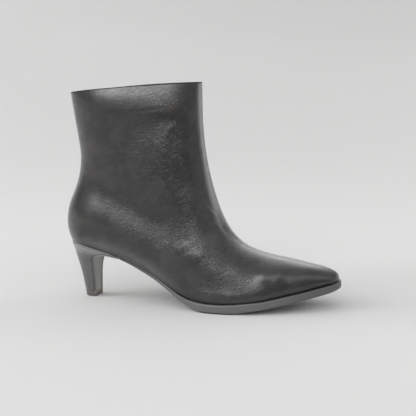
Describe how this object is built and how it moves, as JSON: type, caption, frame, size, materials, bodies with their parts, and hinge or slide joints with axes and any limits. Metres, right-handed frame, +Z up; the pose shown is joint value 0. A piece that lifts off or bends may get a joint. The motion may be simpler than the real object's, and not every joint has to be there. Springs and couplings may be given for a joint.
{
  "type": "low heel ankle boot",
  "caption": "Pointed-toe leather ankle boot for the right foot with a plain shaft, a seam down the front, a thin outsole and a low slender covered heel.",
  "frame": {"origin": "centre of the boot's footprint box, on the floor", "axes": "+X along the boot from heel to toe, +Y towards the inner side of the right foot, +Z up"},
  "size_m": [0.2476, 0.0798, 0.194],
  "materials": {
    "black_leather": "smooth black calf with a soft sheen",
    "sole_rubber": "satin dark grey edge",
    "heel_cover": "satin dark grey with faint level streaks",
    "tip_rubber": "matt, lightly scuffed",
    "sock_lining": "plain matt lining"
  },
  "bodies": {
    "root": {"upper": "black_leather", "outsole": "sole_rubber", "heel": "heel_cover", "heel_tip": "tip_rubber", "insole": "sock_lining"}
  },
  "joints": []
}
